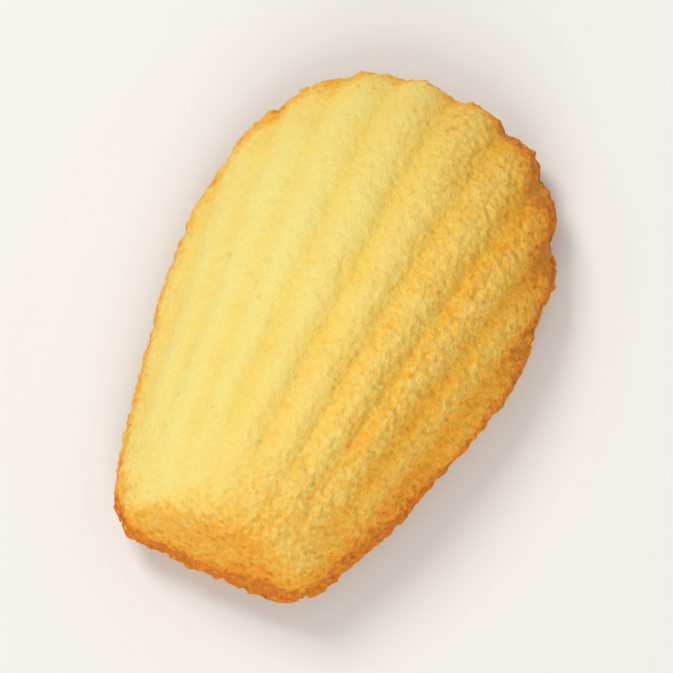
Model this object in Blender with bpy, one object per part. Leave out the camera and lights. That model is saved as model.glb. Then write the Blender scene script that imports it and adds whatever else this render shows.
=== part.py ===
"""A madeleine: one small shell-shaped sponge cake, solid right through.

It lies with its fluted shell up, on the flat of the hump that rose on its back in the oven.
The narrow end points to -Y and the wide, scalloped end to +Y. The origin is on the surface it
lies on, at the middle of its outline. Lengths are in metres.
"""

import math

import bmesh
import bpy
from mathutils import Vector, noise

MM = 0.001

# Outline of the rim, as moulded
LENGTH = 62.4 * MM
HALF_WIDTH = 21.0 * MM
WIDEST_AT = 36.8 * MM            # distance of the widest place from the narrow end
WIDE_END_POWER = 2.3             # superellipse of the wide end
NARROW_HALF_WIDTH = 12.0 * MM
TAPER_POWER = 1.63
CORNER_RADIUS = 4.0 * MM         # the two corners of the narrow end
PATCH_CORNER_ANGLE = math.radians(45)
SHOULDER_WIDTH = 17.6 * MM       # half-width where the flanks hand over to the wide end
NARROW_SKEW = 0.1                # how far the narrow edge runs out of square
NARROW_BULGE = 0.5 * MM          # how far it bows out
NARROW_REACH = 25.0 * MM         # the skew and the bow fade out over this stretch

# The shell above the rim: a dome, cut by the sloping wall of the narrow end
SHELL_DEPTH = 14.0 * MM
DEEPEST_AT = 28.0 * MM
ARCH_POWER = 2.3
ARCH_FALL = 0.8
NARROW_FALL = 0.42               # share of the depth that the dome loses towards the narrow end
NARROW_FALL_POWER = 1.8
WIDE_DROP_POWER = 2.0
WIDE_DROP_FALL = 0.56
END_WALL_STEEPNESS = 2.2         # height gained over distance
END_WALL_EDGE = 8.0              # a higher number makes the wall's upper edge sharper

# Flutes, which fan out from a point far behind the narrow end
FLUTE_DEPTH = 0.7 * MM
FLUTE_PITCH = 5.55 * MM          # at the middle of the length
FLUTE_MIDDLE = 31.5 * MM
FLUTE_SHIFT = -0.35 * MM         # the middle groove lies this far off the middle line
FAN_CENTRE = -64.0 * MM
FLANK_CROWDING = 0.25            # flutes measured along the flank, not across it
VALLEY_SOFTNESS = 0.28
FLUTE_START = 3.0 * MM           # the flutes fade in over this stretch of the length
FLUTE_FULL = 22.0 * MM
LEFT_SHALLOWING = 0.4            # share of their depth that the leftmost flutes lack
LEFT_REACH = 14.0 * MM           # they grow shallower from the middle line out to here

# Rim and hump
LIP_PROUD = 0.3 * MM
LIP_HEIGHT = 1.5 * MM
LIP_TOP_SHARE = 0.3              # share of the lip's height that its rounded top takes
LIP_FACE_SHARE = 0.4             # share that its upright face takes
LIP_UNDERCUT = 1.0 * MM
HUMP_HEIGHT = 5.0 * MM           # from the rim down to the resting face
HUMP_POWER = 0.8
HUMP_MIDDLE_AT = 34.5 * MM       # distance of the hump's middle from the narrow end
RESTING_FRACTION = 0.34          # size of the resting face, as a share of the outline

# Unevenness of a baked thing
LUMP_SIZE = 14.0 * MM
LUMP_HEIGHT = 0.35 * MM
FLUTE_WANDER = 0.07              # share of a pitch by which a flute strays

# Fineness of the facets
COLUMNS = 78
ROWS = 34
EDGE_CROWDING = 0.5              # how strongly the facets crowd towards the steep edges
HUMP_RINGS = 4

CRUST_COLOUR = (0.80, 0.53, 0.13, 1.0)
CRUST_ROUGHNESS = 0.6


def clear_scene():
    """Remove every object the scene holds."""
    for item in list(bpy.data.objects):
        bpy.data.objects.remove(item, do_unlink=True)


def smooth_step(low, high, value):
    """Return 0 below low, 1 above high and a smooth rise between them."""
    share = min(max((value - low) / (high - low), 0.0), 1.0)
    return share * share * (3.0 - 2.0 * share)


def crowd(value):
    """Move a place between -1 and 1 outwards, so that facets are finest near the edges."""
    return (1.0 - EDGE_CROWDING) * value + EDGE_CROWDING * math.sin(0.5 * math.pi * value)


def flank_half_width(along):
    """Return the half-width of the rim at a distance from the narrow end, corners left square."""
    if along >= WIDEST_AT:
        share = min((along - WIDEST_AT) / (LENGTH - WIDEST_AT), 1.0)
        return HALF_WIDTH * (1.0 - share ** WIDE_END_POWER) ** (1.0 / WIDE_END_POWER)
    share = (WIDEST_AT - along) / WIDEST_AT
    return HALF_WIDTH - (HALF_WIDTH - NARROW_HALF_WIDTH) * share ** TAPER_POWER


def half_width(along):
    """Return the half-width of the rim at a distance from the narrow end, corners rounded."""
    width = flank_half_width(along)
    if along < CORNER_RADIUS:
        drop = CORNER_RADIUS - along
        width -= CORNER_RADIUS - math.sqrt(max(CORNER_RADIUS ** 2 - drop ** 2, 0.0))
    return width


def narrow_edge(share):
    """Return the point of the narrow edge at a share from -1, left, to 1, right."""
    straight = NARROW_HALF_WIDTH - CORNER_RADIUS
    reach = straight + CORNER_RADIUS * math.sin(PATCH_CORNER_ANGLE)
    across = share * reach
    turn = max(abs(across) - straight, 0.0)
    return Vector((across, CORNER_RADIUS - math.sqrt(CORNER_RADIUS ** 2 - turn ** 2)))


def wide_edge(share):
    """Return the point of the wide end's edge at a share from -1, left, to 1, right."""
    across = share * SHOULDER_WIDTH
    rise = (1.0 - abs(across / HALF_WIDTH) ** WIDE_END_POWER) ** (1.0 / WIDE_END_POWER)
    return Vector((across, WIDEST_AT + (LENGTH - WIDEST_AT) * rise))


def flank_edge(share, side):
    """Return the point of a flank's edge at a share from 0, narrow, to 1, wide."""
    start = narrow_edge(1.0).y
    end = wide_edge(1.0).y
    along = start + (end - start) * share
    return Vector((side * half_width(along), along))


def plan_point(across_share, along_share):
    """Blend the four edges of the outline into the plan position of a point inside it."""
    right = 0.5 * (1.0 + across_share)
    left = 1.0 - right
    far = along_share
    near = 1.0 - far
    edges = (near * narrow_edge(across_share) + far * wide_edge(across_share)
             + left * flank_edge(far, -1.0) + right * flank_edge(far, 1.0))
    corners = (near * (left * narrow_edge(-1.0) + right * narrow_edge(1.0))
               + far * (left * wide_edge(-1.0) + right * wide_edge(1.0)))
    return edges - corners


def narrow_shift(plan):
    """Return how far the skew and the bow of the narrow edge move a plan position along."""
    fade = 1.0 - smooth_step(0.0, NARROW_REACH, plan.y)
    bow = NARROW_BULGE * max(1.0 - (plan.x / NARROW_HALF_WIDTH) ** 2, 0.0)
    return fade * (NARROW_SKEW * plan.x - bow)


def crest_height(along):
    """Return the height of the dome over the rim, along its middle line."""
    if along >= DEEPEST_AT:
        share = min((along - DEEPEST_AT) / (LENGTH - DEEPEST_AT), 1.0)
        return SHELL_DEPTH * (1.0 - share ** WIDE_DROP_POWER) ** WIDE_DROP_FALL
    share = (DEEPEST_AT - along) / DEEPEST_AT
    return SHELL_DEPTH * (1.0 - NARROW_FALL * share ** NARROW_FALL_POWER)


def shell_height(plan):
    """Return the height of the smooth shell over the rim at a plan position."""
    width = half_width(plan.y)
    share = min(abs(plan.x) / width, 1.0) if width > 0.0 else 1.0
    dome = crest_height(plan.y) * (1.0 - share ** ARCH_POWER) ** ARCH_FALL
    wall = END_WALL_STEEPNESS * max(plan.y, 0.0)
    low, high = min(dome, wall), max(dome, wall)
    if low <= 0.0:
        return 0.0
    return low / (1.0 + (low / high) ** END_WALL_EDGE) ** (1.0 / END_WALL_EDGE)


def flute_relief(place):
    """Return how far the surface is sunk between flutes, at a place on the shell."""
    spread = (place.y - FAN_CENTRE) / (FLUTE_MIDDLE - FAN_CENTRE)
    across = (place.x - FLUTE_SHIFT) / (FLUTE_PITCH * spread)
    share = abs(place.x) / (HALF_WIDTH * spread)
    stray = FLUTE_WANDER * noise.noise(Vector((place.x, 0.4 * place.y, 0.0)) / LUMP_SIZE)
    phase = math.sin(math.pi * (across * (1.0 + FLANK_CROWDING * share * share) + stray))
    cord = math.sqrt(phase * phase + VALLEY_SOFTNESS ** 2) - VALLEY_SOFTNESS
    full = math.sqrt(1.0 + VALLEY_SOFTNESS ** 2) - VALLEY_SOFTNESS
    fade = smooth_step(FLUTE_START, FLUTE_FULL, place.y)
    fade *= 1.0 - LEFT_SHALLOWING * smooth_step(0.0, LEFT_REACH, -place.x)
    return FLUTE_DEPTH * fade * (1.0 - cord / full)


def lump(place):
    """Return the slow unevenness of the crust at a place."""
    return LUMP_HEIGHT * noise.noise(place / LUMP_SIZE)


def shape_shell(bm):
    """Turn a flat grid into the smooth shell, then sink the valleys between its flutes."""
    for vert in bm.verts:
        along_share = 0.5 * (1.0 + crowd(vert.co.y))
        plan = plan_point(crowd(vert.co.x), along_share)
        vert.co = Vector((plan.x, plan.y + narrow_shift(plan), shell_height(plan)))
    bm.normal_update()
    moves = [vert.normal * (lump(vert.co) - flute_relief(vert.co)) for vert in bm.verts]
    for vert, move in zip(bm.verts, moves):
        vert.co += move


def boundary_edges(bm):
    """Return the edges round the open side of the shape."""
    return [edge for edge in bm.edges if edge.is_boundary]


def add_ring(bm, place_vert):
    """Extrude the open edge by one ring and put each new point where place_vert says."""
    ring = bmesh.ops.extrude_edge_only(bm, edges=boundary_edges(bm))["geom"]
    for vert in (item for item in ring if isinstance(item, bmesh.types.BMVert)):
        vert.co = place_vert(vert.co)


def outward(place):
    """Return the level direction from the middle of the outline to a place."""
    level = Vector((place.x, place.y - WIDEST_AT, 0.0))
    return level.normalized()


def move_lip(bm, out, down):
    """Extrude the open edge outwards, or inwards if out is negative, and down."""
    add_ring(bm, lambda co: co + outward(co) * out - Vector((0.0, 0.0, down)))


def hump_depth(share):
    """Return how far the hump hangs under the rim at a share of the way out to the lip."""
    top = (1.0 - RESTING_FRACTION ** 2) ** HUMP_POWER
    return LIP_HEIGHT + (HUMP_HEIGHT - LIP_HEIGHT) * (1.0 - share * share) ** HUMP_POWER / top


def close_underside(bm):
    """Add the lip round the rim, the hump under it and the face that the cake rests on."""
    move_lip(bm, LIP_PROUD, LIP_TOP_SHARE * LIP_HEIGHT)
    move_lip(bm, 0.0, LIP_FACE_SHARE * LIP_HEIGHT)
    move_lip(bm, -LIP_UNDERCUT, (1.0 - LIP_TOP_SHARE - LIP_FACE_SHARE) * LIP_HEIGHT)

    middle = Vector((0.0, HUMP_MIDDLE_AT, 0.0))
    previous = 1.0
    for ring in range(1, HUMP_RINGS + 1):
        share = 1.0 - (1.0 - RESTING_FRACTION) * ring / HUMP_RINGS

        def place_vert(co, step=share / previous, depth=hump_depth(share)):
            flat = middle + (co - middle) * step
            return Vector((flat.x, flat.y, -depth))

        add_ring(bm, place_vert)
        previous = share
    bmesh.ops.edgeloop_fill(bm, edges=boundary_edges(bm))


def split_facets(bm):
    """Split the four-sided facets along whichever diagonal bends least, so flutes stay clean."""
    quads = [face for face in bm.faces if len(face.verts) == 4]
    split = bmesh.ops.triangulate(bm, faces=quads, quad_method="SHORT_EDGE")
    bmesh.ops.beautify_fill(bm, faces=split["faces"], edges=split["edges"], method="ANGLE")


def settle(bm):
    """Move the cake so that it rests at height 0, centred on the origin."""
    low = [min(vert.co[axis] for vert in bm.verts) for axis in range(3)]
    high = [max(vert.co[axis] for vert in bm.verts) for axis in range(3)]
    shift = Vector((-0.5 * (low[0] + high[0]), -0.5 * (low[1] + high[1]), -low[2]))
    bmesh.ops.translate(bm, vec=shift, verts=bm.verts)


def make_crust():
    """Return the material of the baked crust."""
    material = bpy.data.materials.new("golden_crust")
    material.use_nodes = True
    shader = material.node_tree.nodes["Principled BSDF"]
    shader.inputs["Base Color"].default_value = CRUST_COLOUR
    shader.inputs["Roughness"].default_value = CRUST_ROUGHNESS
    shader.inputs["Metallic"].default_value = 0.0
    return material


def make_cake():
    """Build the cake as one closed solid."""
    bm = bmesh.new()
    bmesh.ops.create_grid(bm, x_segments=COLUMNS, y_segments=ROWS, size=1.0)
    shape_shell(bm)
    close_underside(bm)
    bmesh.ops.recalc_face_normals(bm, faces=bm.faces)
    split_facets(bm)
    settle(bm)
    mesh = bpy.data.meshes.new("madeleine")
    bm.to_mesh(mesh)
    bm.free()
    mesh.shade_smooth()
    mesh.materials.append(make_crust())
    cake = bpy.data.objects.new("madeleine", mesh)
    bpy.context.scene.collection.objects.link(cake)


clear_scene()
make_cake()
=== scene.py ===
"""The looks of a madeleine: a small shell-shaped sponge cake with a fluted golden crust.

The cake is modelled as it is made: the smooth shell of the mould first, then its flutes, the lip
round the rim and the hump on its back, and last the grain and the pores of the baked crust.
The scene adds a pale floor, soft studio light and a camera. Lengths are in metres.
"""

from __future__ import annotations

import logging
import math
from dataclasses import dataclass, field
from enum import Enum
from typing import Any, Mapping, Union

import bmesh
import bpy
import numpy as np
from mathutils import Matrix, Vector, kdtree, noise

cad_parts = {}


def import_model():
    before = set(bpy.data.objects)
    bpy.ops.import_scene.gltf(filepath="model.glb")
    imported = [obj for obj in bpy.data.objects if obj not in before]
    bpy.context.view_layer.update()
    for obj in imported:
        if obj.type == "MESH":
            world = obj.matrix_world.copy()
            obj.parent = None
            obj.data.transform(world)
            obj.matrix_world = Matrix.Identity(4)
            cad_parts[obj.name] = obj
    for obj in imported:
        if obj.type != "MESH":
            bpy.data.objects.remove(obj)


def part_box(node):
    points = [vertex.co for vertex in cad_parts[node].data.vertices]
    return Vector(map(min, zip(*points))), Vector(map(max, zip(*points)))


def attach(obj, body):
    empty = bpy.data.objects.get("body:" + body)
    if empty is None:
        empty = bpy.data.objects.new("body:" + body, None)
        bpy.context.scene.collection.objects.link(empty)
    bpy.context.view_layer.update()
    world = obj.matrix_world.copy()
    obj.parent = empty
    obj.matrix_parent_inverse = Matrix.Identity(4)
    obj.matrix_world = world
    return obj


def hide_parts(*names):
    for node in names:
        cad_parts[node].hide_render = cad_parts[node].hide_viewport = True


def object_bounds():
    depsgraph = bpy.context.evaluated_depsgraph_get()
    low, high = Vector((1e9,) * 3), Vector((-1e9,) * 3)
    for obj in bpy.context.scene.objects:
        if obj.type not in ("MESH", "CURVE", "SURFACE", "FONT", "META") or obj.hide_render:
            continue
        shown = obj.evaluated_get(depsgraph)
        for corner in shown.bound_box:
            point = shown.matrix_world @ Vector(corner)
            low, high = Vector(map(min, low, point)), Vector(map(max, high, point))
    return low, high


MM = 0.001
TINY = 1e-9
LOG = logging.getLogger("madeleine")
NODE = "madeleine"

Colour = tuple[float, float, float]


class Side(Enum):
    """The two long sides of the cake, as the sign of their place across it."""

    LEFT = -1.0
    RIGHT = 1.0


def smooth_step(low: float, high: float, value: np.ndarray) -> np.ndarray:
    """Rise smoothly from 0 at low to 1 at high.

    Args:
        low: The value where the rise starts.
        high: The value where it ends.
        value: The values to map.

    Returns:
        The height of the rise at each value.
    """
    share = np.clip((value - low) / (high - low), 0.0, 1.0)
    return share * share * (3.0 - 2.0 * share)


def sample_noise(points: np.ndarray, size: float, seed: float = 0.0) -> np.ndarray:
    """Read smooth noise at many places.

    Args:
        points: One row of x, y and z for each place.
        size: The length of one swell of the noise.
        seed: Shifts the noise, so that two uses differ.

    Returns:
        One value from about -1 to 1 for each place.
    """
    scaled = points / size + seed
    return np.array([noise.noise(Vector(row)) for row in scaled])


@dataclass(frozen=True)
class MouldedForm:
    """The smooth shell that the mould gives, over the plane of its rim."""

    length: float = 62.4 * MM
    half_width: float = 21.0 * MM
    widest_at: float = 36.8 * MM
    wide_end_power: float = 2.3
    narrow_half_width: float = 12.0 * MM
    taper_power: float = 1.63
    corner_radius: float = 4.0 * MM
    narrow_skew: float = 0.1
    narrow_bulge: float = 0.5 * MM
    narrow_reach: float = 25.0 * MM
    corner_angle: float = math.radians(45)
    shoulder_width: float = 17.6 * MM
    depth: float = 14.0 * MM
    deepest_at: float = 28.0 * MM
    arch_power: float = 2.3
    arch_fall: float = 0.8
    narrow_fall: float = 0.42
    narrow_fall_power: float = 1.8
    end_wall_steepness: float = 2.2
    end_wall_edge: float = 8.0
    wide_drop_power: float = 2.0
    wide_drop_fall: float = 0.56

    def rim_half_width(self, along: np.ndarray) -> np.ndarray:
        """Return the half-width of the rim at distances from the narrow end."""
        beyond = np.clip((along - self.widest_at) / (self.length - self.widest_at), 0.0, 1.0)
        wide = self.half_width * (1.0 - beyond ** self.wide_end_power) ** (1.0 / self.wide_end_power)
        before = np.clip((self.widest_at - along) / self.widest_at, 0.0, 1.0)
        taper = (self.half_width - self.narrow_half_width) * before ** self.taper_power
        drop = np.clip(self.corner_radius - along, 0.0, self.corner_radius)
        corner = self.corner_radius - np.sqrt(self.corner_radius ** 2 - drop ** 2)
        return np.where(along >= self.widest_at, wide, self.half_width - taper - corner)

    def narrow_edge(self, share: np.ndarray) -> np.ndarray:
        """Return points of the narrow edge at shares from -1, left, to 1, right."""
        straight = self.narrow_half_width - self.corner_radius
        across = share * (straight + self.corner_radius * math.sin(self.corner_angle))
        turn = np.clip(np.abs(across) - straight, 0.0, None)
        along = self.corner_radius - np.sqrt(self.corner_radius ** 2 - turn ** 2)
        return np.stack([across, along], axis=-1)

    def wide_edge(self, share: np.ndarray) -> np.ndarray:
        """Return points of the wide end's edge at shares from -1, left, to 1, right."""
        across = share * self.shoulder_width
        power = self.wide_end_power
        rise = (1.0 - np.abs(across / self.half_width) ** power) ** (1.0 / power)
        along = self.widest_at + (self.length - self.widest_at) * rise
        return np.stack([across, along], axis=-1)

    def flank_edge(self, share: np.ndarray, side: Side) -> np.ndarray:
        """Return points of one flank's edge at shares from 0, narrow end, to 1, wide end."""
        start = self.narrow_edge(np.array(1.0))[1]
        end = self.wide_edge(np.array(1.0))[1]
        along = start + (end - start) * share
        return np.stack([side.value * self.rim_half_width(along), along], axis=-1)

    def plan(self, across_share: np.ndarray, along_share: np.ndarray) -> np.ndarray:
        """Blend the four edges of the outline into plan positions inside it.

        Args:
            across_share: Places across the cake, from -1 to 1.
            along_share: Places along the cake, from 0 at the narrow end to 1.

        Returns:
            One row of across and along for each place.
        """
        right = (0.5 * (1.0 + across_share))[:, None]
        far = along_share[:, None]
        left, near = 1.0 - right, 1.0 - far
        edges = (near * self.narrow_edge(across_share) + far * self.wide_edge(across_share)
                 + left * self.flank_edge(along_share, Side.LEFT)
                 + right * self.flank_edge(along_share, Side.RIGHT))
        ends = np.array([-1.0, 1.0])
        narrow, wide = self.narrow_edge(ends), self.wide_edge(ends)
        corners = (near * (left * narrow[0] + right * narrow[1])
                   + far * (left * wide[0] + right * wide[1]))
        return edges - corners

    def skew(self, plan: np.ndarray) -> np.ndarray:
        """Return how far the narrow end is pulled along the cake at plan positions.

        Args:
            plan: One row of across and along for each place.

        Returns:
            A shift along the cake for each place: the edge runs out of square and bulges.
        """
        fade = 1.0 - smooth_step(0.0, self.narrow_reach, plan[:, 1])
        bulge = self.narrow_bulge * (1.0 - (plan[:, 0] / self.narrow_half_width) ** 2)
        return fade * (self.narrow_skew * plan[:, 0] - np.clip(bulge, 0.0, None))

    def crest(self, along: np.ndarray) -> np.ndarray:
        """Return the height of the dome along its middle line."""
        past = np.clip((along - self.deepest_at) / (self.length - self.deepest_at), 0.0, 1.0)
        before = np.clip((self.deepest_at - along) / self.deepest_at, 0.0, 1.0)
        wide = (1.0 - past ** self.wide_drop_power) ** self.wide_drop_fall
        narrow = 1.0 - self.narrow_fall * before ** self.narrow_fall_power
        return self.depth * np.where(along >= self.deepest_at, wide, narrow)

    def height(self, plan: np.ndarray) -> np.ndarray:
        """Return the height of the smooth shell at plan positions: the dome, cut by the end wall."""
        width = np.maximum(self.rim_half_width(plan[:, 1]), TINY)
        share = np.clip(np.abs(plan[:, 0]) / width, 0.0, 1.0)
        dome = self.crest(plan[:, 1]) * (1.0 - share ** self.arch_power) ** self.arch_fall
        wall = np.clip(plan[:, 1], 0.0, None) * self.end_wall_steepness
        low, high = np.minimum(dome, wall), np.maximum(np.maximum(dome, wall), TINY)
        return low / (1.0 + (low / high) ** self.end_wall_edge) ** (1.0 / self.end_wall_edge)


@dataclass(frozen=True)
class Flutes:
    """The rounded flutes that fan out from far behind the narrow end."""

    depth: float = 0.7 * MM
    pitch: float = 5.55 * MM
    pitch_at: float = 31.5 * MM
    shift: float = -0.35 * MM
    fan_centre: float = -64.0 * MM
    flank_crowding: float = 0.25
    valley_softness: float = 0.28
    fade_start: float = 3.0 * MM
    fade_end: float = 22.0 * MM
    left_shallowing: float = 0.4
    left_reach: float = 14.0 * MM
    stray_share: float = 0.07
    stray_size: float = 14.0 * MM

    def crown(self, points: np.ndarray, half_width: float) -> np.ndarray:
        """Return how far up its flute each place is, from 0 in a valley to 1 on a crest.

        Args:
            points: One row of x, y and z for each place, in the mould's own frame.
            half_width: The half-width of the rim at its widest place.

        Returns:
            One value from 0 to 1 for each place.
        """
        spread = (points[:, 1] - self.fan_centre) / (self.pitch_at - self.fan_centre)
        across = (points[:, 0] - self.shift) / (self.pitch * spread)
        share = np.abs(points[:, 0]) / (half_width * spread)
        flat = points * np.array([1.0, 0.4, 0.0])
        stray = self.stray_share * sample_noise(flat, self.stray_size)
        phase = np.sin(math.pi * (across * (1.0 + self.flank_crowding * share ** 2) + stray))
        cord = np.sqrt(phase ** 2 + self.valley_softness ** 2) - self.valley_softness
        return cord / (math.sqrt(1.0 + self.valley_softness ** 2) - self.valley_softness)

    def strength(self, points: np.ndarray) -> np.ndarray:
        """Return how deep the flutes are at each place, from 0 to 1."""
        shallow = self.left_shallowing * smooth_step(0.0, self.left_reach, -points[:, 0])
        return smooth_step(self.fade_start, self.fade_end, points[:, 1]) * (1.0 - shallow)


@dataclass(frozen=True)
class RimAndHump:
    """The lip round the rim, and the hump on the back with the flat that the cake rests on."""

    lip_proud: float = 0.3 * MM
    lip_height: float = 1.5 * MM
    undercut: float = 1.0 * MM
    lip_rings: int = 5
    hump_height: float = 5.0 * MM
    hump_power: float = 0.8
    hump_inset: float = 1.3 * MM
    hump_middle_at: float = 34.5 * MM
    resting_share: float = 0.34

    def lip_step(self, share: float) -> tuple[float, float]:
        """Return how far out and how far down the lip has come at a share of its way."""
        out = self.lip_proud * math.sin(0.5 * math.pi * min(share / 0.4, 1.0))
        back = (self.lip_proud + self.undercut) * max(share - 0.6, 0.0) / 0.4
        return out - back, 0.5 * self.lip_height * (1.0 - math.cos(math.pi * share))

    def drop(self, share: np.ndarray) -> np.ndarray:
        """Return how far the hump hangs under the rim at shares of the way out to its edge."""
        top = (1.0 - self.resting_share ** 2) ** self.hump_power
        dome = np.minimum((1.0 - share ** 2) ** self.hump_power / top, 1.0)
        return self.lip_height + (self.hump_height - self.lip_height) * dome


@dataclass(frozen=True)
class CrustTexture:
    """The unevenness, the grain and the pores of the baked crust."""

    lump_size: float = 14.0 * MM
    lump_height: float = 0.35 * MM
    swell_size: float = 4.5 * MM
    swell_height: float = 0.12 * MM
    grain_size: float = 1.5 * MM
    grain_height: float = 0.12 * MM
    crumb_size: float = 0.72 * MM
    crumb_height: float = 0.14 * MM
    pit_size: float = 1.05 * MM
    pit_depth: float = 0.16 * MM
    rim_size: float = 1.7 * MM
    rim_height: float = 0.3 * MM
    rim_crumb_size: float = 0.8 * MM
    rim_crumb_height: float = 0.16 * MM
    rim_reach: float = 0.9 * MM
    pore_count: int = 320
    pore_radius: float = 0.24 * MM
    pore_spread: float = 0.35
    pore_radius_limit: float = 0.55 * MM
    pore_depth_share: float = 0.5
    seed: int = 11

    def lumps(self, points: np.ndarray) -> np.ndarray:
        """Return the slow unevenness of the crust at each place."""
        return self.lump_height * sample_noise(points, self.lump_size)

    def grain(self, points: np.ndarray, coarseness: np.ndarray) -> np.ndarray:
        """Return the swells, the grain and the small pits of the crust.

        Args:
            points: One row of x, y and z for each place on the crust.
            coarseness: How crumbly the crust is at each place, from 0 to 1.

        Returns:
            How far each place stands out, or in if negative, in metres.
        """
        rim = np.exp(-np.abs(points[:, 2] + 0.5 * self.rim_reach) / self.rim_reach)
        pit = smooth_step(0.12, 0.5, sample_noise(points, self.pit_size, 31.7))
        crumbs = (self.grain_height * sample_noise(points, self.grain_size, 7.7)
                  + self.crumb_height * sample_noise(points, self.crumb_size, 12.9)
                  - self.pit_depth * pit)
        return (self.swell_height * sample_noise(points, self.swell_size, 3.1)
                + coarseness * crumbs
                + rim * (self.rim_height * sample_noise(points, self.rim_size, 17.3)
                         + self.rim_crumb_height * sample_noise(points, self.rim_crumb_size, 27.1)))

    def pores(self, points: np.ndarray, likelihood: np.ndarray) -> np.ndarray:
        """Scatter pores over the crust.

        Args:
            points: One row of x, y and z for each place on the crust.
            likelihood: How readily a pore opens at each place, from 0 to 1.

        Returns:
            How deep in a pore each place lies, in metres.
        """
        draw = np.random.RandomState(self.seed)
        tree = kdtree.KDTree(len(points))
        for index, point in enumerate(points):
            tree.insert(point, index)
        tree.balance()
        depth = np.zeros(len(points))
        chance = likelihood / likelihood.sum()
        for centre in draw.choice(len(points), self.pore_count, p=chance):
            radius = self.pore_radius * math.exp(self.pore_spread * draw.standard_normal())
            radius = min(radius, self.pore_radius_limit)
            deepest = self.pore_depth_share * radius
            for _, index, distance in tree.find_range(points[centre], radius):
                bowl = deepest * (1.0 - (distance / radius) ** 2) ** 1.5
                depth[index] = max(depth[index], bowl)
        return depth


class Number:
    """A number in a material, which builds its Math nodes when it is used in arithmetic."""

    def __init__(self, desk: NodeDesk, socket: bpy.types.NodeSocket) -> None:
        """Wrap a socket of a node on a desk."""
        self.desk = desk
        self.socket = socket

    def __add__(self, other: Value) -> Number:
        """Return the sum."""
        return self.desk.math("ADD", self, other)

    def __sub__(self, other: Value) -> Number:
        """Return the difference."""
        return self.desk.math("SUBTRACT", self, other)

    def __rsub__(self, other: Value) -> Number:
        """Return the difference, from the other side."""
        return self.desk.math("SUBTRACT", other, self)

    def __mul__(self, other: Value) -> Number:
        """Return the product."""
        return self.desk.math("MULTIPLY", self, other)

    def __pow__(self, other: Value) -> Number:
        """Return the power."""
        return self.desk.math("POWER", self, other)

    __radd__ = __add__
    __rmul__ = __mul__


Value = Union[Number, float]


class NodeDesk:
    """Builds the nodes of one material."""

    def __init__(self, name: str) -> None:
        """Start an empty material.

        Args:
            name: The material's name.
        """
        self.material = bpy.data.materials.new(name)
        self.material.use_nodes = True
        self.tree = self.material.node_tree
        self.tree.nodes.clear()

    def node(self, kind: str, settings: Mapping[str, Any], inputs: Mapping[Any, Any]) -> bpy.types.Node:
        """Add one node.

        Args:
            kind: The node's type.
            settings: Its own settings, such as a Math node's operation or a ramp's stops.
            inputs: The value or link of each socket, by name or number.

        Returns:
            The new node.
        """
        made = self.tree.nodes.new(kind)
        for name, value in settings.items():
            if name == "stops":
                self.set_stops(made.color_ramp, value)
            else:
                setattr(made, name, value)
        for name, value in inputs.items():
            source = value.socket if isinstance(value, Number) else value
            if isinstance(source, bpy.types.NodeSocket):
                self.tree.links.new(source, made.inputs[name])
            else:
                made.inputs[name].default_value = source
        return made

    @staticmethod
    def set_stops(ramp: bpy.types.ColorRamp, stops: Mapping[float, Colour]) -> None:
        """Give a ramp its stops.

        Args:
            ramp: The ramp to set.
            stops: The colour at each place.
        """
        while len(ramp.elements) > 1:
            ramp.elements.remove(ramp.elements[-1])
        for index, (place, colour) in enumerate(sorted(stops.items())):
            stop = ramp.elements[0] if index == 0 else ramp.elements.new(place)
            stop.position = place
            stop.color = (*colour, 1.0)

    def math(self, operation: str, *values: Value, clamp: bool = False) -> Number:
        """Add a Math node and return its result."""
        made = self.node("ShaderNodeMath", {"operation": operation, "use_clamp": clamp},
                         dict(enumerate(values)))
        return Number(self, made.outputs[0])

    def clamp(self, value: Value) -> Number:
        """Keep a number between 0 and 1."""
        return self.math("ADD", value, 0.0, clamp=True)

    def rise(self, value: Value, low: float, high: float) -> Number:
        """Map a number smoothly from 0 at low to 1 at high."""
        made = self.node("ShaderNodeMapRange", {"interpolation_type": "SMOOTHSTEP"},
                         {"Value": value, "From Min": low, "From Max": high})
        return Number(self, made.outputs["Result"])

    def attribute(self, name: str) -> Number:
        """Read a number that the mesh carries at its points."""
        return Number(self, self.node("ShaderNodeAttribute", {"attribute_name": name}, {}).outputs["Fac"])

    def blend(self, low: Any, high: Any, share: Value, kind: str = "MIX") -> bpy.types.NodeSocket:
        """Mix two colours by a share from 0 to 1 and return the colour's socket."""
        made = self.node("ShaderNodeMix", {"data_type": "RGBA", "blend_type": kind},
                         {0: share, 6: self.colour(low), 7: self.colour(high)})
        return made.outputs[2]

    @staticmethod
    def colour(value: Any) -> Any:
        """Give a plain colour its fourth number, and pass a socket on."""
        return (*value, 1.0) if isinstance(value, tuple) and len(value) == 3 else value


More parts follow.
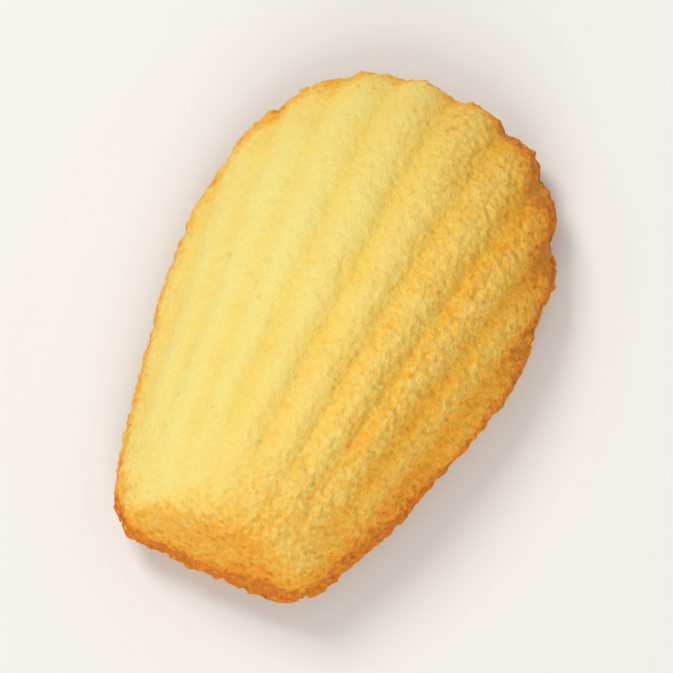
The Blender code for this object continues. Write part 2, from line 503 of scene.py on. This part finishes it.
@dataclass(frozen=True)
class CrustFinish:
    """The golden crust, browned at the rim, with painted light: paler on the crests as a painted highlight,
    deeper golden in the valleys as painted shade.
    """

    pale: Colour = (0.83, 0.715, 0.235)
    yellow: Colour = (0.87, 0.63, 0.155)
    golden: Colour = (0.86, 0.475, 0.065)
    deep_golden: Colour = (0.87, 0.405, 0.034)
    toasted: Colour = (0.83, 0.29, 0.021)
    brown: Colour = (0.63, 0.18, 0.014)
    # Painted shade: the deeper golden laid into the flute valleys.
    valley_shade_tint: Colour = (0.89, 0.57, 0.05)
    # Painted shade: the darker golden laid into the pores.
    pore_shade_tint: Colour = (0.78, 0.42, 0.05)
    roughness: float = 0.56
    roughness_range: float = 0.16
    glow_weight: float = 0.12
    glow_reach: float = 0.35 * MM
    relief_depth: float = 0.13 * MM

    def make(self) -> bpy.types.Material:
        """Build the crust's material.

        Returns:
            The material, which reads the attributes for browning with painted shade, for the flutes' crowns
            and for the pores.
        """
        desk = NodeDesk("crust")
        place = desk.node("ShaderNodeTexCoord", {}, {}).outputs["Object"]
        browning_and_shade, crown, pore = (desk.attribute(name) for name in ("browning_and_shade", "crown", "pore"))

        mottle = self.cloud(desk, place, 3.5 * MM, 3.0)
        crumb = self.cloud(desk, place, 0.62 * MM, 3.0)
        grit = self.cloud(desk, place, 0.24 * MM, 2.0)
        crisp = desk.rise(browning_and_shade, 0.08, 0.5)
        grains = self.dots(desk, place, 0.5 * MM, 0.62)
        holes = self.dots(desk, place, 1.25 * MM, 0.42) + self.dots(desk, place, 0.62 * MM, 0.40)

        tone = browning_and_shade + (mottle - 0.5) * (0.16 + 0.1 * crisp) + (0.5 - crumb) * (0.3 + 0.6 * crisp)
        # Painted shade and glints: the pits are made browner as painted shade; the crumb grains are made
        # paler, most on the crests, partly crumb colour and partly painted glints.
        tone = tone + holes * (0.05 + 0.13 * crisp) - grains * crisp * (0.1 + 0.16 * crown)
        base = desk.node("ShaderNodeValToRGB", {"stops": {
            0.0: self.pale, 0.25: self.yellow, 0.5: self.golden, 0.65: self.deep_golden,
            0.82: self.toasted, 1.0: self.brown,
        }}, {"Fac": desk.clamp(tone)}).outputs["Color"]
        # Painted shade: the flute valleys are tinted deeper golden, less where the crust is browned.
        base = desk.blend(base, self.valley_shade_tint, (1.0 - crown) * (1.0 - 0.5 * crisp) * 0.42)
        # Painted shade: the pores are tinted darker.
        base = desk.blend(base, self.pore_shade_tint, pore * 0.4)

        rough = self.roughness + (crumb - 0.5) * self.roughness_range
        relief = crumb * (1.4 + 0.5 * crisp) + grit * 0.6
        relief = relief + grains * (0.2 + 0.45 * crisp) - holes * (0.2 + 0.3 * crisp)
        bump = desk.node("ShaderNodeBump", {}, {"Strength": 1.0, "Distance": self.relief_depth,
                                                "Height": relief}).outputs["Normal"]
        shader = desk.node("ShaderNodeBsdfPrincipled", {"subsurface_method": "RANDOM_WALK"}, {
            "Base Color": base, "Roughness": rough, "Normal": bump,
            "Subsurface Weight": self.glow_weight, "Subsurface Scale": self.glow_reach,
            "Subsurface Radius": (1.0, 0.55, 0.22), "Specular IOR Level": 0.13,
        })
        desk.node("ShaderNodeOutputMaterial", {}, {"Surface": shader.outputs[0]})
        return desk.material

    @staticmethod
    def dots(desk: NodeDesk, place: bpy.types.NodeSocket, spacing: float, share: float) -> Number:
        """Scatter small soft dots of many sizes, for the pits and the grains of the crust.

        Args:
            desk: The material's nodes.
            place: Where the pattern is read.
            spacing: How far apart the dots lie, in metres.
            share: The radius of the largest dot, as a share of the spacing.

        Returns:
            How far inside a dot each place is, from 0 to 1.
        """
        bend = desk.node("ShaderNodeTexNoise", {}, {"Vector": place, "Scale": 2.2 / spacing, "Detail": 2.0})
        shift = desk.node("ShaderNodeVectorMath", {"operation": "SCALE"},
                          {0: bend.outputs["Color"], "Scale": 0.55 * spacing}).outputs[0]
        bent = desk.node("ShaderNodeVectorMath", {"operation": "ADD"}, {0: place, 1: shift}).outputs[0]
        cell = desk.node("ShaderNodeTexVoronoi", {"feature": "F1"}, {"Vector": bent, "Scale": 1.0 / spacing})
        red = desk.node("ShaderNodeSeparateColor", {}, {"Color": cell.outputs["Color"]}).outputs["Red"]
        lot = Number(desk, red)
        radius = share * (lot ** 1.5) + 0.02
        reach = desk.math("DIVIDE", Number(desk, cell.outputs["Distance"]), radius)
        return lot * (1.0 - desk.rise(reach, 0.15, 1.0))

    @staticmethod
    def cloud(desk: NodeDesk, place: bpy.types.NodeSocket, size: float, detail: float) -> Number:
        """Read cloudy noise of a given size, from 0 to 1."""
        made = desk.node("ShaderNodeTexNoise", {}, {"Vector": place, "Scale": 1.0 / size,
                                                   "Detail": detail, "Roughness": 0.55})
        return Number(desk, made.outputs["Fac"])


@dataclass
class Madeleine:
    """The whole cake, as one closed piece that stands for the plain solid."""

    form: MouldedForm = field(default_factory=MouldedForm)
    flutes: Flutes = field(default_factory=Flutes)
    back: RimAndHump = field(default_factory=RimAndHump)
    texture: CrustTexture = field(default_factory=CrustTexture)
    finish: CrustFinish = field(default_factory=CrustFinish)
    columns: int = 264
    rows: int = 276
    back_coarseness: int = 2
    edge_crowding: float = 0.5

    def crowd(self, share: np.ndarray) -> np.ndarray:
        """Move places between -1 and 1 outwards, so that the mesh is finest near the edges."""
        bent = np.sin(0.5 * math.pi * share)
        return (1.0 - self.edge_crowding) * share + self.edge_crowding * bent

    def build(self) -> bpy.types.Object:
        """Model the cake and dress it.

        Returns:
            The finished object, at the origin.
        """
        bm = bmesh.new()
        self.raise_shell(bm)
        self.add_lip(bm)
        self.add_back(bm)
        bmesh.ops.triangulate(bm, faces=[face for face in bm.faces if len(face.verts) > 4])
        bmesh.ops.recalc_face_normals(bm, faces=bm.faces)
        traits = self.roughen(bm)
        self.fit_frame(bm)
        mesh = bpy.data.meshes.new("madeleine_crust")
        bm.to_mesh(mesh)
        bm.free()
        for name, values in traits.items():
            layer = mesh.attributes.new(name=name, type="FLOAT", domain="POINT")
            layer.data.foreach_set("value", values.astype(np.float32))
        mesh.shade_smooth()
        mesh.materials.append(self.finish.make())
        cake = bpy.data.objects.new("madeleine_crust", mesh)
        bpy.context.scene.collection.objects.link(cake)
        return cake

    def raise_shell(self, bm: bmesh.types.BMesh) -> None:
        """Shape a flat grid into the smooth shell, then sink the valleys between its flutes."""
        bmesh.ops.create_grid(bm, x_segments=self.columns, y_segments=self.rows, size=1.0)
        shares = self.crowd(self.places(bm)[:, :2])
        plan = self.form.plan(shares[:, 0], 0.5 * (1.0 + shares[:, 1]))
        smooth = np.column_stack([plan, self.form.height(plan)])
        smooth[:, 1] += self.form.skew(plan)
        self.put(bm, smooth)
        bm.normal_update()
        crown = self.flutes.crown(smooth, self.form.half_width)
        sunk = self.flutes.depth * self.flutes.strength(smooth) * (1.0 - crown)
        self.put(bm, smooth + self.normals(bm) * (self.texture.lumps(smooth) - sunk)[:, None])

    def add_lip(self, bm: bmesh.types.BMesh) -> None:
        """Extrude the open rim, ring by ring, over the lip and back under it."""
        edges = [edge for edge in bm.edges if edge.is_boundary]
        done = (0.0, 0.0)
        for ring in range(1, self.back.lip_rings + 1):
            step = self.back.lip_step(ring / self.back.lip_rings)
            made = bmesh.ops.extrude_edge_only(bm, edges=edges)["geom"]
            for vert in (item for item in made if isinstance(item, bmesh.types.BMVert)):
                level = Vector((vert.co.x, vert.co.y - self.form.widest_at, 0.0)).normalized()
                vert.co += level * (step[0] - done[0]) - Vector((0.0, 0.0, step[1] - done[1]))
            edges = [item for item in made if isinstance(item, bmesh.types.BMEdge)]
            done = step

    def add_back(self, bm: bmesh.types.BMesh) -> None:
        """Lay the hump under the shell and bridge it to the lip."""
        rim = [edge for edge in bm.edges if edge.is_boundary]
        grid = bmesh.ops.create_grid(bm, x_segments=self.columns // self.back_coarseness,
                                     y_segments=self.rows // self.back_coarseness, size=1.0)
        verts = grid["verts"]
        shares = self.crowd(np.array([vert.co[:2] for vert in verts]))
        plan = self.form.plan(shares[:, 0], 0.5 * (1.0 + shares[:, 1]))
        middle = np.array([0.0, self.form.widest_at])
        out = np.max(np.abs(shares), axis=1)
        level = (plan - middle) / np.maximum(np.linalg.norm(plan - middle, axis=1), MM)[:, None]
        plan = plan - level * (self.back.hump_inset * out ** 4)[:, None]
        plan[:, 1] += self.form.skew(plan)
        round_out = np.clip(self.dome_share(plan), 0.0, 1.0)
        for vert, spot, fall in zip(verts, plan, self.back.drop(round_out)):
            vert.co = (spot[0], spot[1], -fall)
        bmesh.ops.reverse_faces(bm, faces=list({face for vert in verts for face in vert.link_faces}))
        edge_back = [edge for edge in bm.edges if edge.is_boundary and edge not in set(rim)]
        bmesh.ops.bridge_loops(bm, edges=rim + edge_back)

    def dome_share(self, plan: np.ndarray) -> np.ndarray:
        """Return how far out from the middle of the back each plan position lies, 1 at its edge."""
        width = np.maximum(self.form.rim_half_width(plan[:, 1]) - self.back.hump_inset, MM)
        across = np.abs(plan[:, 0]) / width
        middle = self.back.hump_middle_at
        reach = np.where(plan[:, 1] > middle, self.form.length - middle, middle)
        along = np.abs(plan[:, 1] - middle) / (reach - self.back.hump_inset)
        return (np.minimum(across, 1.0) ** 2.4 + np.minimum(along, 1.0) ** 2.4) ** (1.0 / 2.4)

    def roughen(self, bm: bmesh.types.BMesh) -> dict[str, np.ndarray]:
        """Give the crust its grain and pores, and work out how browned each place is, painted shade and
        highlight included.

        Args:
            bm: The closed smooth cake, in the mould's own frame.

        Returns:
            The values of each attribute that the crust's material reads.
        """
        bm.normal_update()
        points, normals = self.places(bm), self.normals(bm)
        crown = 1.0 - self.flutes.strength(points) * (1.0 - self.flutes.crown(points, self.form.half_width))
        crown = np.where(points[:, 2] < 0.0, 1.0, crown)
        browning_and_shade = self.browning_and_shade(points, normals, crown)
        coarseness = 0.6 + smooth_step(0.05, 0.5, browning_and_shade) * (0.3 + 0.7 * crown)
        pore = self.texture.pores(points, 0.2 + 0.8 * smooth_step(0.1, 0.5, browning_and_shade))
        move = self.texture.grain(points, coarseness) - pore
        self.put(bm, points + normals * move[:, None])
        depth = self.texture.pore_depth_share * self.texture.pore_radius
        return {"browning_and_shade": browning_and_shade, "crown": crown, "pore": np.clip(pore / depth, 0.0, 1.0)}

    def browning_and_shade(self, points: np.ndarray, normals: np.ndarray, crown: np.ndarray) -> np.ndarray:
        """Return how browned each place is, from 0, pale, to 1, brown, with painted light worked in.

        The right side and the end wall, turned from the key lamp, come out browner: partly real browning,
        partly painted shade. On the browner side the flute valleys are browner as painted shade, and the
        crests paler as a painted highlight.

        Args:
            points: One row of x, y and z for each place on the crust.
            normals: The outward direction at each place.
            crown: How far up its flute each place is.

        Returns:
            One value from 0 to 1 for each place.
        """
        across, along, height = (points / MM).T
        wide_noise = sample_noise(points, 9.0 * MM, 21.0)
        close_noise = sample_noise(points, 2.4 * MM, 5.0)
        # The end wall, picked out by which way it faces, is browned more below: partly real browning, partly
        # painted shade of a face turned from the key lamp.
        facing = -normals[:, 1] + 0.12 * close_noise
        wall = smooth_step(0.1, 0.85, facing) * smooth_step(11.0, 4.5, along)

        # Painted shade, partly real browning: the crust turns more golden towards the right side, the side
        # turned from the key lamp; the right and wide_right masks carry the same browning and painted shade
        # into the rim and the lower flank.
        lean = 0.18 * np.clip(30.0 - along, 0.0, None)
        right_browning_and_shade = smooth_step(-11.0, 19.0, across + lean + 1.5 * wide_noise)
        right = smooth_step(0.0, 10.0, across)
        narrow = smooth_step(7.0, 3.0, along)
        low = smooth_step(3.0, 0.0, height)
        wide_right = smooth_step(40.0, 54.0, along) * smooth_step(6.0, 14.0, across)
        skirt = smooth_step(8.0, 0.0, height)
        corner = np.exp(-((across - 9.0) ** 2 + (along - 4.0) ** 2) / 18.0)
        rim_strength = 0.42 + 0.1 * narrow + 0.2 * right + 0.4 * wide_right + 0.5 * close_noise
        rim_strength = np.clip(rim_strength, 0.05, 1.0)
        edge = rim_strength * np.exp(-np.abs(height + 0.4) / (0.6 + 1.1 * rim_strength))
        notch = 0.3 * (1.0 - crown) * smooth_step(5.0, 0.5, height) * smooth_step(38.0, 50.0, along)

        # The sum of the browning: the terms that grow towards the right side are partly painted shade, as
        # are the end wall's terms below.
        far = smooth_step(40.0, 58.0, along) * (1.0 - right)
        shell = 0.02 + 0.5 * right_browning_and_shade + 0.1 * far + 0.12 * wide_right + notch
        # Painted shade, partly real browning: the end wall comes out browner, here and again near the rim.
        shell = shell + wall * (0.28 - 0.013 * across)
        shell = shell + 0.06 * smooth_step(22.0, 6.0, along) * smooth_step(-9.0, 3.0, across)
        shell = shell + skirt * (0.04 + right * (0.13 + 0.16 * smooth_step(28.0, 10.0, along)))
        shell = shell + low * (0.14 + (0.22 - 0.012 * across) * wall)
        shell = shell + 0.16 * smooth_step(9.0, 0.5, height) * smooth_step(-7.0, -15.0, across)
        # Painted highlight and shade: on the browner right side the flute crests are made paler and the
        # valleys browner; the lower right corner is made paler.
        shell = shell + right_browning_and_shade * (0.2 * (1.0 - crown) - 0.08) - 0.14 * corner
        shell = shell + 0.05 * wide_noise + 0.05 * close_noise

        under = 0.48 + 0.16 * wide_noise + 0.08 * close_noise
        over = smooth_step(-2.0, 0.2, height)
        return np.clip(under + (shell - under) * over + 0.52 * edge, 0.0, 1.0)

    def fit_frame(self, bm: bmesh.types.BMesh) -> None:
        """Scale and move the cake into the plain solid's box, resting on its lowest face."""
        low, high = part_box(NODE)
        points = self.places(bm)
        own_low, own_high = Vector(points.min(axis=0)), Vector(points.max(axis=0))
        ratio = Vector(((high[axis] - low[axis]) / (own_high[axis] - own_low[axis]) for axis in range(3)))
        LOG.info("fit to the frame: %s", [round(value, 4) for value in ratio])
        bmesh.ops.translate(bm, vec=-own_low, verts=bm.verts)
        bmesh.ops.scale(bm, vec=ratio, verts=bm.verts)
        bmesh.ops.translate(bm, vec=low, verts=bm.verts)

    @staticmethod
    def places(bm: bmesh.types.BMesh) -> np.ndarray:
        """Return the position of every point, one row each."""
        return np.array([vert.co[:] for vert in bm.verts])

    @staticmethod
    def normals(bm: bmesh.types.BMesh) -> np.ndarray:
        """Return the outward direction at every point, one row each."""
        return np.array([vert.normal[:] for vert in bm.verts])

    @staticmethod
    def put(bm: bmesh.types.BMesh, points: np.ndarray) -> None:
        """Move every point of a shape.

        Args:
            bm: The shape.
            points: The new position of each point, one row each.
        """
        for vert, point in zip(bm.verts, points):
            vert.co = point


@dataclass(frozen=True)
class Floor:
    """The pale floor that the cake lies on."""

    size: float = 6.0
    colour: Colour = (0.83, 0.82, 0.80)

    def lay(self) -> bpy.types.Object:
        """Make the floor at height 0 and return it."""
        bm = bmesh.new()
        bmesh.ops.create_grid(bm, x_segments=1, y_segments=1, size=0.5 * self.size)
        mesh = bpy.data.meshes.new("floor")
        bm.to_mesh(mesh)
        bm.free()
        desk = NodeDesk("floor")
        place = desk.node("ShaderNodeTexCoord", {}, {}).outputs["Object"]
        haze = CrustFinish.cloud(desk, place, 0.2, 2.0)
        tint = desk.blend(self.colour, tuple(0.97 * value for value in self.colour), haze)
        shader = desk.node("ShaderNodeBsdfPrincipled", {}, {"Base Color": tint, "Roughness": 0.7})
        desk.node("ShaderNodeOutputMaterial", {}, {"Surface": shader.outputs[0]})
        mesh.materials.append(desk.material)
        floor = bpy.data.objects.new("floor", mesh)
        bpy.context.scene.collection.objects.link(floor)
        return floor


@dataclass(frozen=True)
class Softbox:
    """One large soft lamp of the studio."""

    name: str
    place: tuple[float, float, float]
    size: float
    power: float
    colour: Colour = (1.0, 1.0, 1.0)

    def hang(self, target: Vector) -> bpy.types.Object:
        """Put the lamp in the scene, facing a target."""
        data = bpy.data.lights.new(self.name, "AREA")
        data.shape = "DISK"
        data.size = self.size
        data.energy = self.power
        data.color = self.colour
        lamp = bpy.data.objects.new(self.name, data)
        lamp.location = Vector(self.place)
        lamp.rotation_mode = "QUATERNION"
        lamp.rotation_quaternion = (target - lamp.location).to_track_quat("-Z", "Y")
        bpy.context.scene.collection.objects.link(lamp)
        return lamp


@dataclass(frozen=True)
class Studio:
    """The soft light: a key lamp over the cake's left side, a fill and a pale surround."""

    key: Softbox = Softbox("key_lamp", (-0.55, 0.26, 0.68), 0.35, 3.9, (1.0, 0.985, 0.96))
    fill: Softbox = Softbox("fill_lamp", (0.3, -0.75, 0.6), 0.8, 4.4, (1.0, 0.98, 0.95))
    surround: Colour = (1.0, 0.99, 0.975)
    surround_strength: float = 0.53

    def light(self, target: Vector) -> None:
        """Hang the lamps and light the surround."""
        for lamp in (self.key, self.fill):
            lamp.hang(target)
        world = bpy.data.worlds.new("studio")
        world.use_nodes = True
        backdrop = world.node_tree.nodes["Background"]
        backdrop.inputs["Color"].default_value = (*self.surround, 1.0)
        backdrop.inputs["Strength"].default_value = self.surround_strength
        bpy.context.scene.world = world
        bpy.context.scene.view_settings.view_transform = "Standard"


@dataclass(frozen=True)
class Viewpoint:
    """The camera over the cake, tipped towards its right side."""

    roll: float = math.radians(4.0)
    pitch: float = math.radians(8.0)
    turn: float = math.radians(28.0)
    aim: tuple[float, float, float] = (0.4 * MM, 0.0, -4.5 * MM)
    distance: float = 0.8
    field_of_view: float = 77.6 * MM
    sensor: float = 36.0

    def place(self, middle: Vector) -> bpy.types.Object:
        """Put the camera in the scene.

        Args:
            middle: The middle of the cake, from which the aim is measured.

        Returns:
            The camera.
        """
        target = middle + Vector(self.aim)
        data = bpy.data.cameras.new("camera")
        data.sensor_width = self.sensor
        data.lens = self.sensor * self.distance / self.field_of_view
        data.clip_start = 0.1 * self.distance
        data.clip_end = 10.0 * self.distance
        camera = bpy.data.objects.new("camera", data)
        bpy.context.scene.collection.objects.link(camera)
        back = Vector((math.tan(self.roll), -math.tan(self.pitch), 1.0)).normalized()
        up = Vector((-math.sin(self.turn), math.cos(self.turn), 0.0))
        right = up.cross(back).normalized()
        up = back.cross(right)
        turned = Matrix((right, up, back)).transposed().to_4x4()
        camera.matrix_world = Matrix.Translation(target + back * self.distance) @ turned
        bpy.context.scene.camera = camera
        return camera


def main() -> None:
    """Load the frame, build the cake in it, and set up the floor, the light and the camera."""
    logging.basicConfig(level=logging.INFO, format="%(message)s")
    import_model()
    plain_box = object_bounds()
    middle = 0.5 * (plain_box[0] + plain_box[1])

    cake = Madeleine().build()
    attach(cake, "root")
    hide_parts(NODE)
    LOG.info("%s: %d triangles", cake.name, sum(len(face.vertices) - 2 for face in cake.data.polygons))

    floor = Floor().lay()
    LOG.info("%s laid", floor.name)
    Studio().light(middle)
    camera = Viewpoint().place(middle)
    LOG.info("%s placed, lens %.0f mm", camera.name, camera.data.lens)


if __name__ == "__main__":
    main()
